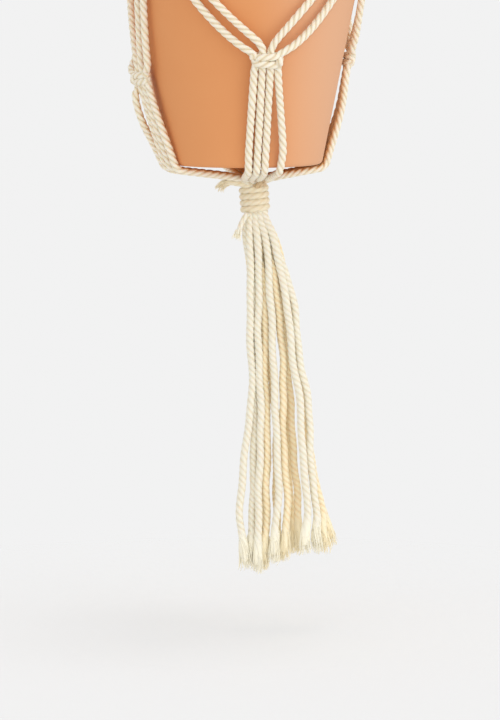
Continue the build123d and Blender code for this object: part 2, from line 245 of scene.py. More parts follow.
def beside_pot(azimuth, height, standoff, side=0.0):
    """A point that stands off the pot's wall. Above the rim it stands straight over the rim."""
    radius = POT_BASE_R + WALL_SLOPE * min(height, POT_HEIGHT) + standoff / WALL_COS
    return polar(azimuth + math.degrees(side / radius), radius, height)


def route(points):
    """The smooth line of one cord through its control points, read from a NURBS spline."""
    curve = bpy.data.curves.new("route", "CURVE")
    curve.dimensions = "3D"
    curve.resolution_u = ROUTE_STEPS
    spline = curve.splines.new("NURBS")
    spline.points.add(len(points) - 1)
    for target, point in zip(spline.points, points):
        target.co = (point[0] * MM, point[1] * MM, point[2] * MM, 1.0)
    spline.order_u = 3
    spline.use_endpoint_u = True
    holder = bpy.data.objects.new("route", curve)
    mesh = bpy.data.meshes.new_from_object(holder)
    line = np.array([vertex.co for vertex in mesh.vertices]) / MM
    bpy.data.meshes.remove(mesh)
    bpy.data.objects.remove(holder)
    bpy.data.curves.remove(curve)
    return line


def read_at(places, along, rows):
    """Rows of three values, read at places between those that they stand at."""
    return np.stack([np.interp(places, along, rows[:, k]) for k in range(3)], axis=1)


def even(line, step):
    """The line's points at an even step along it, and how far along each one is."""
    along = np.concatenate(([0.0], np.cumsum(np.linalg.norm(np.diff(line, axis=0), axis=1))))
    count = max(3, int(round(along[-1] / step)) + 1)
    places = np.linspace(0.0, along[-1], count)
    return read_at(places, along, line), places


def reflected(vector, normal):
    """The vector reflected in the plane that a normal of any length stands on."""
    return vector - 2 / (normal @ normal) * (normal @ vector) * normal


def frames(line):
    """Normals and binormals along a line, with no twist of their own."""
    tangents = np.gradient(line, axis=0)
    tangents /= np.linalg.norm(tangents, axis=1)[:, None]
    runs_along_y = abs(tangents[0][1]) >= NEARLY_ALONG
    helper = np.array((1.0, 0.0, 0.0)) if runs_along_y else np.array((0.0, 1.0, 0.0))
    normals = [unit(np.cross(tangents[0], helper))]
    for here, there, before, after in zip(line, line[1:], tangents, tangents[1:]):
        step = there - here
        carried = reflected(normals[-1], step)
        change = after - reflected(before, step)
        if change @ change > NO_TURN:
            carried = reflected(carried, change)
        normals.append(unit(carried))
    normals = np.array(normals)
    return normals, np.cross(tangents, normals)


# Meshes of cord
class Piece:
    """Tubes gathered into one mesh, with a coordinate that follows the threads."""

    def __init__(self):
        self.points = []
        self.threads = []
        self.crests = []
        self.faces = []
        self.count = 0

    def tube(self, rings, threads, crests, open_start=False, open_end=False):
        """A skin over rings of points. crests is one on a ply and zero in the groove beside it."""
        rows, sides = rings.shape[:2]
        index = self.count + np.arange(rows * sides).reshape(rows, sides)
        beside = np.roll(index, -1, axis=1)
        quads = np.stack((index[:-1], beside[:-1], beside[1:], index[1:]), axis=-1)
        self.faces.extend(quads.reshape(-1, 4).tolist())
        if not open_start:
            self.faces.append(index[0][::-1].tolist())
        if not open_end:
            self.faces.append(index[-1].tolist())
        self.points.append(rings.reshape(-1, 3))
        self.threads.append(threads.reshape(-1, 3))
        self.crests.append(crests.reshape(-1))
        self.count += rows * sides

    def rope(self, line, diameter, seed, **look):
        """One whole twisted cord along a line."""
        _, rings, threads, crests = rope_rings(line, diameter, seed, **look)
        self.tube(rings, threads, crests)

    def make(self, name, material):
        """The mesh as an object in metres."""
        mesh = bpy.data.meshes.new(name)
        mesh.from_pydata((np.concatenate(self.points) * MM).tolist(), [], self.faces)
        mesh.polygons.foreach_set("use_smooth", [True] * len(mesh.polygons))
        layer = mesh.attributes.new("thread", "FLOAT_VECTOR", "POINT")
        layer.data.foreach_set("vector", np.concatenate(self.threads).astype(np.float32).ravel())
        layer = mesh.attributes.new("crest", "FLOAT", "POINT")
        layer.data.foreach_set("value", np.concatenate(self.crests).astype(np.float32))
        mesh.materials.append(material)
        item = bpy.data.objects.new(name, mesh)
        bpy.context.scene.collection.objects.link(item)
        return item


def rings_round(line, normals, binormals, radius, angle):
    """Rings of points round a line."""
    return (
        line[:, None, :]
        + (radius * np.cos(angle))[:, :, None] * normals[:, None, :]
        + (radius * np.sin(angle))[:, :, None] * binormals[:, None, :]
    )


def rope_rings(line, diameter, seed, lay=LAY, groove=GROOVE, loose=0.0, brush=FULL_BRUSH):
    """Rings of a three-ply twisted cord along a line, with their threads and crests.

    Over the loose length at its end the plies open into a brush, as wide as the brush values say.
    """
    chance = random.Random(seed)
    line, along = even(line, RING_STEP)
    normals, binormals = frames(line)
    wave = 2 * math.pi / chance.uniform(*WAVE_LENGTHS)
    shift = chance.uniform(0.0, ANY_ANGLE)
    lay = lay * chance.uniform(*LAY_SPREAD)
    swell = 1.0 + SWELL * np.sin(SWELL_RATE * wave * along + 2 * shift)
    streaks = np.array([chance.uniform(-1.0, 1.0) for _ in range(SIDES)])[None, :]
    opened = np.zeros(len(line))
    if loose > 0:
        share = np.clip(1 - (along[-1] - along) / loose, 0.0, 1.0)
        opened = np.interp(share, (0.0, BRUSH_OPEN), (0.0, 1.0))
        swell = swell * np.interp(share, BRUSH_PLACES, brush)
    wound = np.cumsum(1 - BRUSH_UNTWIST * opened) * along[1]
    twist = chance.uniform(0.0, ANY_ANGLE) - 2 * math.pi * wound / lay
    twist = twist + TWIST_SWAY * np.sin(wave * wound + shift)
    opened = opened[:, None]
    around = 2 * math.pi * np.arange(SIDES) / SIDES
    shade = (1.0 - np.abs(np.cos(PLIES / 2 * around)))[None, :] * (1 - opened)
    relief = 1.0 - groove * shade**GROOVE_POWER + BRUSH_STREAKS * streaks * opened
    radius = diameter / 2 * relief * swell[:, None]
    rings = rings_round(line, normals, binormals, radius, twist[:, None] + around[None, :])
    threads = np.empty(rings.shape)
    threads[:, :, 0] = along[:, None] + THREAD_SHIFT * chance.random()
    threads[:, :, 1] = diameter / 2 * np.cos(around)
    threads[:, :, 2] = diameter / 2 * np.sin(around)
    crests = 1.0 - shade + opened * (BRUSH_PALE + BRUSH_TONES * streaks)
    return line, rings, threads, crests


# The hanger's meshes, each under the node that it replaces
pieces = {}


def piece(node):
    """The gathered mesh that stands for a node of the frame."""
    return pieces.setdefault(node, Piece())


def lay_cord(points, cuts, seed):
    """One cord through its points, handed out to nodes. cuts pairs each node with its last point."""
    line, rings, threads, crests = rope_rings(route(points), LOOK_D, seed)
    start = 0
    for number, (node, last) in enumerate(cuts):
        stop = len(line) - 1
        if last is not None:
            away = np.linalg.norm(line[start + 2 :] - last, axis=1)
            stop = start + 2 + int(np.argmin(away))
        part = slice(start, stop + 1)
        last_part = number == len(cuts) - 1
        piece(node).tube(rings[part], threads[part], crests[part], number > 0, not last_part)
        start = stop


# Knots
class Knot:
    """The place of a square knot: side runs round the pot, out away from it, up along the cord."""

    def __init__(self, origin, up, azimuth, turn, flat, stretch):
        _, across = outward(azimuth)
        level = unit(across - up * (across @ up))
        away = np.cross(level, up)
        angle = math.radians(turn)
        self.flat = flat
        self.stretch = stretch
        self.origin = origin
        self.up = up
        self.side = level * math.cos(angle) - away * math.sin(angle)
        self.out = np.cross(self.side, self.up)

    def at(self, side, out, up):
        """A point given from the knot's middle."""
        return self.origin + self.side * side + self.out * out + self.up * up


def upper_knot(leg):
    """The knot just above the rim."""
    azimuth = UPPER_AZIMUTHS[leg]
    foot = beside_pot(azimuth, POT_HEIGHT, RIM_STANDOFF)
    up = unit(leg_top(leg) - foot)
    return Knot(foot + up * UPPER_KNOT_RISE, up, azimuth, 0.0, UPPER_KNOT_FLAT, UPPER_KNOT_STRETCH)


def lower_knot(group):
    """The knot against the pot's wall."""
    azimuth, turn = LOWER_AZIMUTHS[group], KNOT_TURNS[group]
    standoff = KNOT_STANDOFF + LOWER_FILLER * math.sin(math.radians(turn)) - KNOT_SINKS[group]
    origin = beside_pot(azimuth, LOWER_HEIGHTS[group] - KNOT_DROPS[group], standoff)
    above = beside_pot(azimuth, POT_HEIGHT, standoff)
    up = unit(above - origin)
    return Knot(origin, up, azimuth, turn, KNOT_FLATS[group], KNOT_STRETCHES[group])


# The two working cords of a square knot, as side, out and up. Each comes back out on its own side.
FRONT_WORKER = (
    (-4.6, 3.7, 2.3),
    (0.0, 4.7, 2.7),
    (4.6, 3.3, 2.2),
    (7.4, 0.0, 1.1),
    (7.2, 0.2, -1.1),
    (4.8, 3.3, -2.0),
    (0.0, 4.7, -1.9),
    (-4.4, 3.0, -2.3),
    (-6.8, 0.2, -3.8),
)
BACK_WORKER = (
    (8.6, 3.2, 2.6),
    (8.2, -0.6, 2.2),
    (5.0, -3.6, 2.2),
    (0.0, -4.6, 2.3),
    (-5.2, -3.2, 2.4),
    (-7.6, 0.6, 1.9),
    (-7.0, 4.6, 0.4),
    (-7.0, 4.4, -1.2),
    (-7.4, 0.4, -2.4),
    (-5.0, -3.4, -2.4),
    (0.0, -4.6, -2.3),
    (4.8, -3.2, -2.6),
    (6.9, 0.0, -3.8),
)


def worker_points(knot, side, mirror, width):
    """Control points of the working cord that comes in on a side of a knot."""
    front = (side < 0) != mirror
    table = FRONT_WORKER if front else BACK_WORKER
    flip = -width if mirror else width
    return [knot.at(flip * p[0], knot.flat * p[1], knot.stretch * p[2]) for p in table]


# The hanger's cords
# A leg's start in the whipping: the heights of two points above its row, and how wide the second one lies
LEG_START = 8.5
LEG_WIDER_START = 4.5
LEG_WIDER = 1.35
# Where a cord comes to an upper knot, goes into it and leaves it, as up or as out and up from its middle
UPPER_FILLER_TOP = 6.0
UPPER_ENTRY_OUT = 0.3
UPPER_ENTRY = 12.0
UPPER_INTO = (0.8, 5.2)
UPPER_LEAVE = -6.0
# The same at a lower knot. A working cord comes in wider there, and has that first.
LOWER_FILLER_TOP = 8.5
LOWER_ENTRY = (1.6, 0.4, 6.0)
LOWER_INTO = (1.14, 1.2, 4.1)
LOWER_LEAVE = -6.4
# How far the net's cords reach past the rim and above a lower knot, and the azimuth between their points
NET_FILLER_RISE = 4.5
NET_FILLER_FOOT = 9.0
NET_WORKER_FOOT = 3.0
NET_STEP = 11.0
# A cradle cord's way past the edge of the base: how far its points lie from the knot and from the edge
CRADLE_START = -9.0
CRADLE_WALL = 14.0
CRADLE_CORNER = 8.0
CRADLE_UNDER = 9.0
WALL_SLACK = 0.45
STRAY_FADE = 0.5
# Inside the lower whipping: height, distance from its axis and share of the row's width
GATHER_STEPS = ((-9.1, 7.0, 0.72), (-12.5, 3.9, 0.5), (-20.5, 3.4, 0.45))
# How far the runs draw together inside the upper whipping, as a share of their row under it
WHIPPING_SQUEEZE = 0.46
OUTER_CORDS = (0, 3)


def leg_top(leg):
    """The middle of a leg's row of cords under the upper whipping."""
    return polar(LEG_AZIMUTHS[leg], HEAD_REACH, LEG_TOP_Z - BASE_Z)


def in_row(leg, index):
    """The place of one of a leg's cords in its row under the upper whipping."""
    _, across = outward(LEG_AZIMUTHS[leg])
    return leg_top(leg) + across * (index - 1.5) * PITCH


def in_whipping(leg, index):
    """Where one of a leg's cords lies across the upper whipping."""
    foot = in_row(leg, index)
    return np.array((foot[0], foot[1], 0.0)) * WHIPPING_SQUEEZE


def leg_points(leg, index, side, working):
    """Points of a cord from the upper whipping through the upper knot, and where its nodes end."""
    knot = upper_knot(leg)
    top = in_row(leg, index)
    squeezed = in_whipping(leg, index)
    entry = knot.at(side, UPPER_ENTRY_OUT if working else 0.0, UPPER_ENTRY)
    leave = knot.at(side, 0.0, UPPER_LEAVE)
    points = [
        squeezed + (0, 0, LEG_TOP_Z + LEG_START),
        squeezed * LEG_WIDER + (0, 0, LEG_TOP_Z + LEG_WIDER_START),
        top,
        (top + entry) / 2,
        entry,
    ]
    if working:
        into = knot.at(side, *UPPER_INTO)
        points += [into, *worker_points(knot, side, leg in MIRRORED, UPPER_KNOT_WIDTH), leave]
        return points, [(f"{leg}_leg_cords", into), (f"{leg}_knot", leave)]
    middle = knot.at(side, 0.0, 0.0)
    points += [knot.at(side, 0.0, UPPER_FILLER_TOP), middle, leave]
    return points, [(f"{leg}_leg_cords", middle)]


def net_points(leg, group, upper_side, lower_side, filler):
    """Points of a cord from over the rim to its side of a lower knot."""
    way = -1 if lower_side < 0 else 1
    start, end = UPPER_AZIMUTHS[leg], LOWER_AZIMUTHS[group]
    if way * (start - end) < 0:
        start += way * 360
    top = POT_HEIGHT + (NET_FILLER_RISE if filler else 0.0)
    bottom = LOWER_HEIGHTS[group] - KNOT_DROPS[group] + (NET_FILLER_FOOT if filler else NET_WORKER_FOOT)
    sag = NET_SAGS[group][0 if way < 0 else 1][0 if filler else 1]
    rim_share = (POT_HEIGHT - bottom) / (top - bottom)
    at_rim = (math.sqrt(sag**2 + 4 * (1 - sag) * rim_share) - sag) / (2 - 2 * sag)
    steps = math.ceil(abs(start - end) / NET_STEP)
    points = []
    for step in range(steps):
        share = at_rim * (1 - step / steps)
        height = bottom + (top - bottom) * (sag * share + (1 - sag) * share**2)
        lift = (KNOT_STANDOFF - RIM_STANDOFF) * (1 - share / at_rim) ** 3
        side = way * (abs(lower_side) - (abs(lower_side) + abs(upper_side)) * share)
        points.append(beside_pot(end + (start - end) * share, height, RIM_STANDOFF + lift, side))
    return points


def lower_knot_points(group, side, filler):
    """Points of a cord into and through a lower knot, and where its net and knot nodes end."""
    knot = lower_knot(group)
    net = f"{group}_net_{'left' if side < 0 else 'right'}_cords"
    if filler:
        middle = knot.at(side, 0.0, 0.0)
        return [knot.at(side, 0.0, LOWER_FILLER_TOP), middle], [(net, middle)]
    entry, into = [knot.at(side * wide, out, up) for wide, out, up in (LOWER_ENTRY, LOWER_INTO)]
    leave = knot.at(side, 0.0, LOWER_LEAVE)
    worked = worker_points(knot, side, group in MIRRORED, LOWER_KNOT_WIDTH)
    return [entry, into, *worked, leave], [(net, into), (f"{group}_knot", leave)]


def cradle_points(group, side, index):
    """Points of a cord down the wall and round the edge of the base, and on inside the lower whipping."""
    out, across = outward(GATHER_AZIMUTHS[group])
    _, aside = outward(LOWER_AZIMUTHS[group])
    stray = STRAYS.get((group, index), 0.0)
    start = lower_knot(group).at(side, stray, CRADLE_START)
    offset = EDGE_OFFSETS[group][index]
    edge = beside_pot(LOWER_AZIMUTHS[group], -EDGE_STANDOFF, EDGE_STANDOFF, offset)
    row = (index - 1.5) * PITCH
    head = at_base(GATHER_X, 0.0, HEAD_HEIGHT) + out * HEAD_REACH + across * row
    wall = edge + unit(start - edge) * CRADLE_WALL + aside * BOWS.get((group, index), 0.0)
    wall = wall + out * WALL_SLACK * SLACKS[group]
    middle = (start + wall) / 2 + out * (STRAY_FADE * stray + SLACKS[group])
    corner = edge + unit(wall - edge) * CRADLE_CORNER
    under = edge + unit(head - edge) * CRADLE_UNDER
    inside = [
        at_base(GATHER_X, 0.0, height) + out * reach + across * row * share
        for height, reach, share in GATHER_STEPS
    ]
    return [start, middle, wall, corner, edge, under, head], inside


def hanger_cord(leg, index):
    """One of a leg's four cords from the upper whipping to the lower one, and where its nodes end.

    The outer two work the upper knot and fill a lower one. The inner two do it the other way round.
    """
    outer = index in OUTER_CORDS
    way = -1 if index < 2 else 1
    group = BELOW[leg][0 if way < 0 else 1]
    upper_side = way * (UPPER_FILLER + (WORKER_OFFSET if outer else 0.0))
    lower_side = -way * (LOWER_FILLER + (0.0 if outer else WORKER_OFFSET))
    if outer:
        place = 2 if way < 0 else 1
    else:
        place = 3 if way < 0 else 0
    points, cuts = leg_points(leg, index, upper_side, outer)
    points += net_points(leg, group, upper_side, lower_side, outer)
    knotted, knot_cuts = lower_knot_points(group, lower_side, outer)
    cradle, inside = cradle_points(group, lower_side, place)
    points += knotted + cradle + inside
    cuts += [*knot_cuts, (f"{group}_cradle_cords", cradle[-1]), ("bottom_gather", None)]
    return points, cuts


def hanger_cords():
    """The sixteen runs from the upper whipping to the lower one."""
    for number, leg in enumerate(LEG_AZIMUTHS):
        for index in range(4):
            points, cuts = hanger_cord(leg, index)
            lay_cord(points, cuts, HANGER_SEED + 4 * number + index)


# The folds over the ring: their columns, their play round its stock and how low they sit on it
FOLD_COLUMNS = (-1.5, -0.5, 0.5, 1.5)
FOLD_PLAY = 1.75
FOLD_SEAT = 1.45
FOLD_ARC_STEP = 30


def fold_cords():
    """Eight cords folded over the lowest stock of the ring, in two layers."""
    for column in FOLD_COLUMNS:
        x = column * PITCH
        edge = abs(x) + CORD_R
        centre = RING_FOOT_Z + RING_R - math.sqrt(RING_R**2 - edge**2) - FOLD_SEAT
        for layer in (0, 1):
            bend = RING_STOCK_R + FOLD_PLAY + CORD_R + layer * PITCH
            foot = (0.5 + layer) * PITCH
            reach = bend / math.cos(math.radians(FOLD_ARC_STEP / 2))
            rising = [
                (0.8 * x, -0.8 * foot, TOP_Z - 8),
                (0.97 * x, -0.97 * foot, TOP_Z - 1),
                (x, -(foot + bend) / 2, (TOP_Z + centre) / 2 - 4),
                (x, -bend, centre - 7),
            ]
            over = []
            for turn in range(FOLD_ARC_STEP // 2, 180, FOLD_ARC_STEP):
                angle = math.radians(turn)
                over.append((x, -reach * math.cos(angle), centre + reach * math.sin(angle)))
            falling = [(px, -py, pz) for px, py, pz in reversed(rising)]
            points = [np.array(point) for point in rising + over + falling]
            lay_cord(points, [("ring_fold_cords", None)], FOLD_SEED + column * 2 + layer)


def top_gather_cords():
    """The sixteen runs inside the upper whipping, from the folds to the legs."""
    quarter = ((-1.5, -0.5), (-0.5, -0.5), (-1.5, -1.5), (-0.5, -1.5))
    for number, leg in enumerate(LEG_AZIMUTHS):
        spin = math.radians(90 * number)
        for index, (x, y) in enumerate(quarter):
            turned_x = x * math.cos(spin) - y * math.sin(spin)
            turned_y = x * math.sin(spin) + y * math.cos(spin)
            grid = np.array((turned_x, turned_y, 0.0)) * PITCH
            squeezed = in_whipping(leg, index)
            points = [
                grid * 0.85 + (0, 0, TOP_Z - 4),
                grid * 0.66 + (0, 0, TOP_Z - 10),
                squeezed + (0, 0, LEG_TOP_Z + 12),
                squeezed + (0, 0, LEG_TOP_Z + 5.5),
            ]
            lay_cord(points, [("top_gather", None)], GATHER_SEED + 4 * number + index)


# The whippings
WRAP_POINTS = 48
WRAP_TUCK = 2.2
WRAP_TUCK_ANGLE = 1.2


def helix(radius, turns, top, centre_x, lean):
    """A winding that goes down clockwise seen from above, so that its front slants up to the right.

    Both its ends tuck in under the turn beside them.
    """
    angles = np.linspace(0.0, 2 * math.pi * turns, int(turns * WRAP_POINTS))
    drop = WRAP_PITCH * angles / (2 * math.pi)
    from_end = np.minimum(angles, angles[-1] - angles)
    radius = radius - WRAP_TUCK * np.clip(1 - from_end / WRAP_TUCK_ANGLE, 0.0, 1.0) ** 2
    x = centre_x + lean * drop - radius * np.cos(angles)
    return np.stack((x, radius * np.sin(angles), top - WRAP_D / 2 - drop), axis=1)


def whipping(node, body, line, diameter, seed):
    """One winding of the binding cord."""
    winding = Piece()
    winding.rope(line, diameter, seed, groove=WRAP_GROOVE)
    item = winding.make(f"{node}_rope", binding_cotton)
    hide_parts(node)
    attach(item, body)


# Cut ends
def fray(target, line, diameter, length, seed, spread, count, ragged):
    """Loose fibres round a cord's opened end, which carry on to the end of its line."""
    chance = random.Random(seed)
    line, along = even(line, FRAY_STEP)
    normals, binormals = frames(line)
    start = along[-1] - length
    for number in range(count):
        inner = number % 2
        angle = chance.uniform(0.0, ANY_ANGLE)
        place = diameter / 2 * chance.uniform(*(INNER_PLACES if inner else OUTER_PLACES))
        flare = spread * chance.uniform(*FLARES)
        begin = start + length * (INNER_START if inner else chance.uniform(*OUTER_STARTS))
        finish = along[-1] - abs(chance.gauss(0.0, ragged)) * length
        places = np.linspace(begin, max(finish, begin + TIP_SHARE * length), FIBRE_POINTS)
        share = np.clip((places - start) / length, 0.0, 1.0)
        bend = chance.uniform(-FIBRE_BEND, FIBRE_BEND)
        turn = chance.uniform(0.0, ANY_ANGLE)
        angles = angle - 2 * math.pi * (places - begin) / LAY * FIBRE_TWIST * (1 - share)
        out = place + flare * share**FLARE_POWER
        curl = FIBRE_CURL * share + turn
        across = out * np.cos(angles) + bend * np.sin(curl) * share
        beside = out * np.sin(angles) + bend * np.cos(curl) * share
        tame = np.minimum(1.0, FRAY_REACH / np.hypot(across, beside))
        path = (
            read_at(places, along, line)
            + (across * tame)[:, None] * read_at(places, along, normals)
            + (beside * tame)[:, None] * read_at(places, along, binormals)
        )
        fibre(target, path, places, chance)


def fibre(target, path, places, chance):
    """One loose fibre that thins towards its end."""
    normals, binormals = frames(path)
    width = chance.uniform(*FIBRE_RADII) * np.linspace(1.0, FIBRE_TAPER, len(path))
    corners = 2 * math.pi * np.arange(FIBRE_SIDES) / FIBRE_SIDES
    rings = rings_round(path, normals, binormals, width[:, None], corners[None, :])
    threads = np.zeros_like(rings)
    threads[:, :, 0] = places[:, None]
    threads[:, :, 1] = FIBRE_THREADS * chance.random()
    target.tube(rings, threads, np.full(rings.shape[:2], chance.uniform(*FIBRE_CRESTS)))


def without_tip(line, loose):
    """The line without its last stretch, where only loose fibres go on."""
    return line[: len(line) - int(TIP_SHARE * loose / RING_STEP)]


def tail(name, points, material, number, diameter, loose):
    """A short length of binding cord with a frayed end."""
    whole, _ = even(route([at_base(*p) for p in points]), RING_STEP)
    look = {"groove": SOFT_GROOVE, "loose": loose, "brush": THIN_BRUSH}
    gathered = Piece()
    gathered.rope(without_tip(whole, loose), diameter, TAIL_SEED + number, **look)
    fray(gathered, whole, diameter, loose, TAIL_FRAY_SEED + number, **TAIL_FRAY)
    made = gathered.make(name, material)
    return made


# Shader trees
def feed(tree, node, inputs):
    """Sets each input of a shader node to a constant, or links it to another node's output."""
    for key, value in inputs.items():
        if isinstance(value, bpy.types.NodeSocket):
            tree.links.new(value, node.inputs[key])
        else:
            node.inputs[key].default_value = value


def add(tree, kind, inputs=None, **settings):
    """A new shader node with its settings and inputs."""
    node = tree.nodes.new(f"ShaderNode{kind}")
    for name, value in settings.items():
        setattr(node, name, value)
    feed(tree, node, inputs or {})
    return node


def noise(tree, vector, scale, detail, distortion=0.0):
    """Noise between zero and one."""
    inputs = {"Vector": vector, "Scale": scale, "Detail": detail, "Distortion": distortion}
    return add(tree, "TexNoise", inputs).outputs["Fac"]


def ranged(tree, value, low, high, to_low=0.0, to_high=1.0, smooth=False):
    """A value moved from one range to another, and held inside it."""
    inputs = {"Value": value, "From Min": low, "From Max": high, "To Min": to_low, "To Max": to_high}
    shape = "SMOOTHSTEP" if smooth else "LINEAR"
    return add(tree, "MapRange", inputs, interpolation_type=shape).outputs["Result"]


def two_tone(tree, factor, low, dark, high, light):
    """A run of colour from a dark tone to a light one."""
    node = add(tree, "ValToRGB", {"Fac": factor})
    first, last = node.color_ramp.elements
    first.position = low
    first.color = (*dark, 1.0)
    last.position = high
    last.color = (*light, 1.0)
    return node.outputs["Color"]


def mixed(tree, factor, first, second):
    """A blend of two colours."""
    return add(tree, "Mix", {"Factor": factor, 6: first, 7: second}, data_type="RGBA").outputs[2]


def bumped(tree, height, strength):
    """A normal with fine relief."""
    inputs = {"Strength": strength, "Distance": RELIEF_DEPTH, "Height": height}
    return add(tree, "Bump", inputs).outputs["Normal"]


def calculated(tree, kind, operation, first, second):
    """A sum or a comparison of two numbers or vectors, as a node."""
    return add(tree, kind, {0: first, 1: second}, operation=operation)


def new_material(name):
    """A material, its tree and its surface."""
    material = bpy.data.materials.new(name)
    material.use_nodes = True
    return material, material.node_tree, material.node_tree.nodes["Principled BSDF"]


# Materials
# Each cotton's ply in a light and a dark tone, the painted shade in the groove beside it, and its loose
# fibres
CREAM = (0.92, 0.87, 0.75), (0.89, 0.80, 0.63), (0.75, 0.61, 0.40), (0.95, 0.86, 0.64)
PALE = (0.88, 0.85, 0.74), (0.86, 0.80, 0.65), (0.79, 0.70, 0.52), (0.97, 0.91, 0.73)
# The tassel's cotton in painted shade, warmer and deeper, for strands that lie in shadow inside the bundle
PAINTED_SHADE_TONES = (0.95, 0.85, 0.63), (0.94, 0.80, 0.54), (0.87, 0.68, 0.41), (0.95, 0.86, 0.63)
BEIGE = (0.86, 0.78, 0.60), (0.81, 0.71, 0.52), (0.77, 0.65, 0.45), (0.91, 0.81, 0.58)
TAN = (0.72, 0.56, 0.36), (0.58, 0.41, 0.23), (0.48, 0.32, 0.17), (0.75, 0.58, 0.38)
CLAY_DARK = (0.71, 0.297, 0.117)
CLAY_LIGHT = (0.745, 0.33, 0.137)
# Painted highlight: paler clay on the pot's right side, where the key light falls
PAINTED_RIGHT_HIGHLIGHT = (0.735, 0.41, 0.243, 1.0)
# Painted shade and painted orange bounce light from the pot on the cords' side that faces it, and the
# height over the base where it has faded out
PAINTED_POT_BOUNCE = (0.70, 0.36, 0.11, 1.0)
PAINTED_POT_BOUNCE_TOP = 110.0
WOOD_DARK = (0.36, 0.19, 0.085)
WOOD_LIGHT = (0.58, 0.36, 0.18)
# How the patterns are drawn out along a thread and along the grain, and the depth of relief in metres
THREAD_SCALE = (0.35, 2.2, 2.2)
GRAIN_SCALE = (60.0, 420.0, 420.0)
RELIEF_DEPTH = 0.0004
# crest is zero in a groove, near one on a ply and up to two on a loose fibre
PLY_CREST = 0.95
LOOSE_CRESTS = (1.0, 2.0)
GLOW_CRESTS = (1.0, 1.02)
# Where the painted highlight on the pot's right side is full, in metres to the right, and how squarely a
# cord faces the pot where its painted shade and orange bounce light from the pot are full
PAINTED_HIGHLIGHT_FULL = 0.055
FACING_FULL = 0.9


def with_painted_pot_bounce(tree, colour):
    """The colour with painted shade and painted orange bounce light from the pot on the side that faces
    the pot, strongest under the pot.
    """
    place = add(tree, "TexCoord")
    centre = (0.0, 0.0, (BASE_Z + POT_HEIGHT / 2) * MM)
    inward = calculated(tree, "VectorMath", "SUBTRACT", centre, place.outputs["Object"])
    aim = add(tree, "VectorMath", {0: inward.outputs["Vector"]}, operation="NORMALIZE")
    facing = calculated(tree, "VectorMath", "DOT_PRODUCT", aim.outputs["Vector"], place.outputs["Normal"])
    near = ranged(tree, facing.outputs["Value"], 0.0, FACING_FULL, smooth=True)
    height = add(tree, "SeparateXYZ", {"Vector": place.outputs["Object"]}).outputs["Z"]
    low = ranged(tree, height, (BASE_Z + PAINTED_POT_BOUNCE_TOP) * MM, BASE_Z * MM)
    share = calculated(tree, "Math", "MULTIPLY", near, low)
    return mixed(tree, share.outputs[0], colour, PAINTED_POT_BOUNCE)


def cotton(name, glow, reach, light, dark, groove, loose, clay=False):
    """Matte cotton with fine threads along it, painted shade in the grooves between the plies, and paler
    where it frays. With clay, the side that faces the pot takes painted shade and painted orange bounce
    light from it.
    """
    material, tree, surface = new_material(name)
    thread = add(tree, "Attribute", attribute_name="thread").outputs["Vector"]
    crest = add(tree, "Attribute", attribute_name="crest").outputs["Fac"]
    drawn = add(tree, "Mapping", {"Vector": thread, "Scale": THREAD_SCALE}).outputs["Vector"]
    fibres = noise(tree, drawn, scale=1.0, detail=3.0)
    plies = two_tone(tree, fibres, 0.3, dark, 0.65, light)
    # The groove's tone is painted shade between the plies
    colour = mixed(tree, ranged(tree, crest, 0.0, PLY_CREST), (*groove, 1.0), plies)
    colour = mixed(tree, ranged(tree, crest, *LOOSE_CRESTS), colour, (*loose, 1.0))
    # clay adds painted shade and painted orange bounce light from the pot
    if clay:
        colour = with_painted_pot_bounce(tree, colour)
    look = {
        "Base Color": colour,
        "Roughness": 0.92,
        "Specular IOR Level": 0.15,
        "Sheen Weight": 0.15,
        "Subsurface Weight": ranged(tree, crest, *GLOW_CRESTS, glow, 0.0),
        "Subsurface Radius": (1.0, 0.7, 0.4),
        "Subsurface Scale": reach * MM,
        "Normal": bumped(tree, fibres, 0.5),
    }
    feed(tree, surface, look)
    return material


def terracotta():
    """Smooth unglazed clay with faint clouds, a painted highlight that pales its right side where the key
    light falls, and a fine grain.
    """
    material, tree, surface = new_material("terracotta")
    place = add(tree, "TexCoord").outputs["Object"]
    clouds = noise(tree, place, scale=14.0, detail=4.0)
    clay = two_tone(tree, clouds, 0.3, CLAY_DARK, 0.75, CLAY_LIGHT)
    to_right = add(tree, "SeparateXYZ", {"Vector": place}).outputs["X"]
    # Painted highlight, paler towards the right side
    painted_highlight = ranged(tree, to_right, 0.0, PAINTED_HIGHLIGHT_FULL, smooth=True)
    grain = noise(tree, place, scale=900.0, detail=2.0)
    look = {
        "Base Color": mixed(tree, painted_highlight, clay, PAINTED_RIGHT_HIGHLIGHT),
        "Roughness": 0.6,
        "Specular IOR Level": 0.05,
        "Normal": bumped(tree, grain, 0.12),
    }
    feed(tree, surface, look)
    return material


def ring_wood():
    """Pale turned wood with long grain."""
    material, tree, surface = new_material("ring wood")
    place = add(tree, "TexCoord").outputs["Object"]
    drawn = add(tree, "Mapping", {"Vector": place, "Scale": GRAIN_SCALE}).outputs["Vector"]
    grain = noise(tree, drawn, scale=1.0, detail=5.0, distortion=0.6)
    tone = two_tone(tree, grain, 0.32, WOOD_DARK, 0.68, WOOD_LIGHT)
    feed(tree, surface, {"Base Color": tone, "Roughness": 0.5})
    return material


# Each cotton's name, the share of light that sinks in, and how far it goes
# The hanger's cords take painted shade and painted orange bounce light from the pot where they face it
cord_cotton = cotton("cord cotton", 0.15, 3.0, *CREAM, clay=True)
binding_cotton = cotton("binding cotton", 0.15, 3.0, *BEIGE)
stub_cotton = cotton("stub cotton", 0.15, 3.0, *TAN)
tassel_cotton = cotton("tassel cotton", 0.1, 2.0, *PALE)
painted_shade_cotton = cotton("shaded cotton", 0.1, 2.0, *PAINTED_SHADE_TONES)


